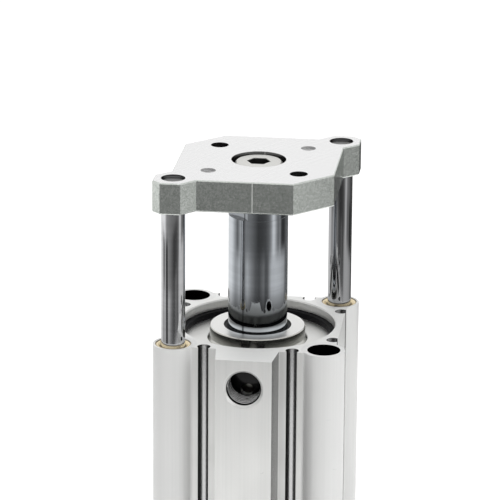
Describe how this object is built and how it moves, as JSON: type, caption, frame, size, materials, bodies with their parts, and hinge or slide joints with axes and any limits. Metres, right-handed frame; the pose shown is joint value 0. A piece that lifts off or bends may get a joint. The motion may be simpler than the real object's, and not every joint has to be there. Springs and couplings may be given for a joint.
{
  "type": "guided pneumatic cylinder",
  "caption": "Compact double-acting air cylinder with a square slotted body, a chromed piston rod and a lobed guide plate on two guide rods, drawn rod out.",
  "frame": {"origin": "middle of the body's mounting face, on the piston rod's axis", "axes": "+Z along the piston rod, away from the body; the air ports face -Y; the front guide rod is at -X -Y"},
  "size_m": [0.064, 0.0712, 0.1378],
  "materials": {
    "body_aluminium": "satin anodised extrusion, machined ends",
    "cover_aluminium": "turned and anodised",
    "plate_aluminium": "fine blasted sides, milled top",
    "piston_aluminium": "turned",
    "chromed_rod": "hard chromed and polished",
    "guide_rod_steel": "ground and polished",
    "zinc_steel": "plated",
    "black_spring_steel": "blackened spring steel, oiled",
    "bush_bronze": "sintered bronze, machined",
    "seal_rubber": "nitrile rubber",
    "bumper_rubber": "urethane rubber",
    "wear_plastic": "moulded",
    "magnet_compound": "bonded magnet"
  },
  "bodies": {
    "cylinder": {"cylinder_tube": "body_aluminium", "rod_cover": "cover_aluminium", "rod_cover_o_ring": "seal_rubber", "retaining_ring": "black_spring_steel", "rod_bush": "bush_bronze", "rod_seal": "seal_rubber", "guide_bush_front_upper": "bush_bronze", "guide_bush_front_lower": "bush_bronze", "guide_bush_rear_upper": "bush_bronze", "guide_bush_rear_lower": "bush_bronze"},
    "rod_assembly": {"piston_rod": "chromed_rod", "piston": "piston_aluminium", "piston_nut": "zinc_steel", "piston_o_ring": "seal_rubber", "piston_seal": "seal_rubber", "piston_wear_ring": "wear_plastic", "piston_magnet": "magnet_compound", "rod_bumper": "bumper_rubber", "head_bumper": "bumper_rubber", "guide_plate": "plate_aluminium", "plate_screw": "zinc_steel", "guide_rod_front": "guide_rod_steel", "guide_rod_rear": "guide_rod_steel"}
  },
  "joints": [
    {"name": "rod_slide", "type": "slide", "parent": "cylinder", "child": "rod_assembly", "axis": [0, 0, 1], "range_m": [-0.04, 0]}
  ]
}
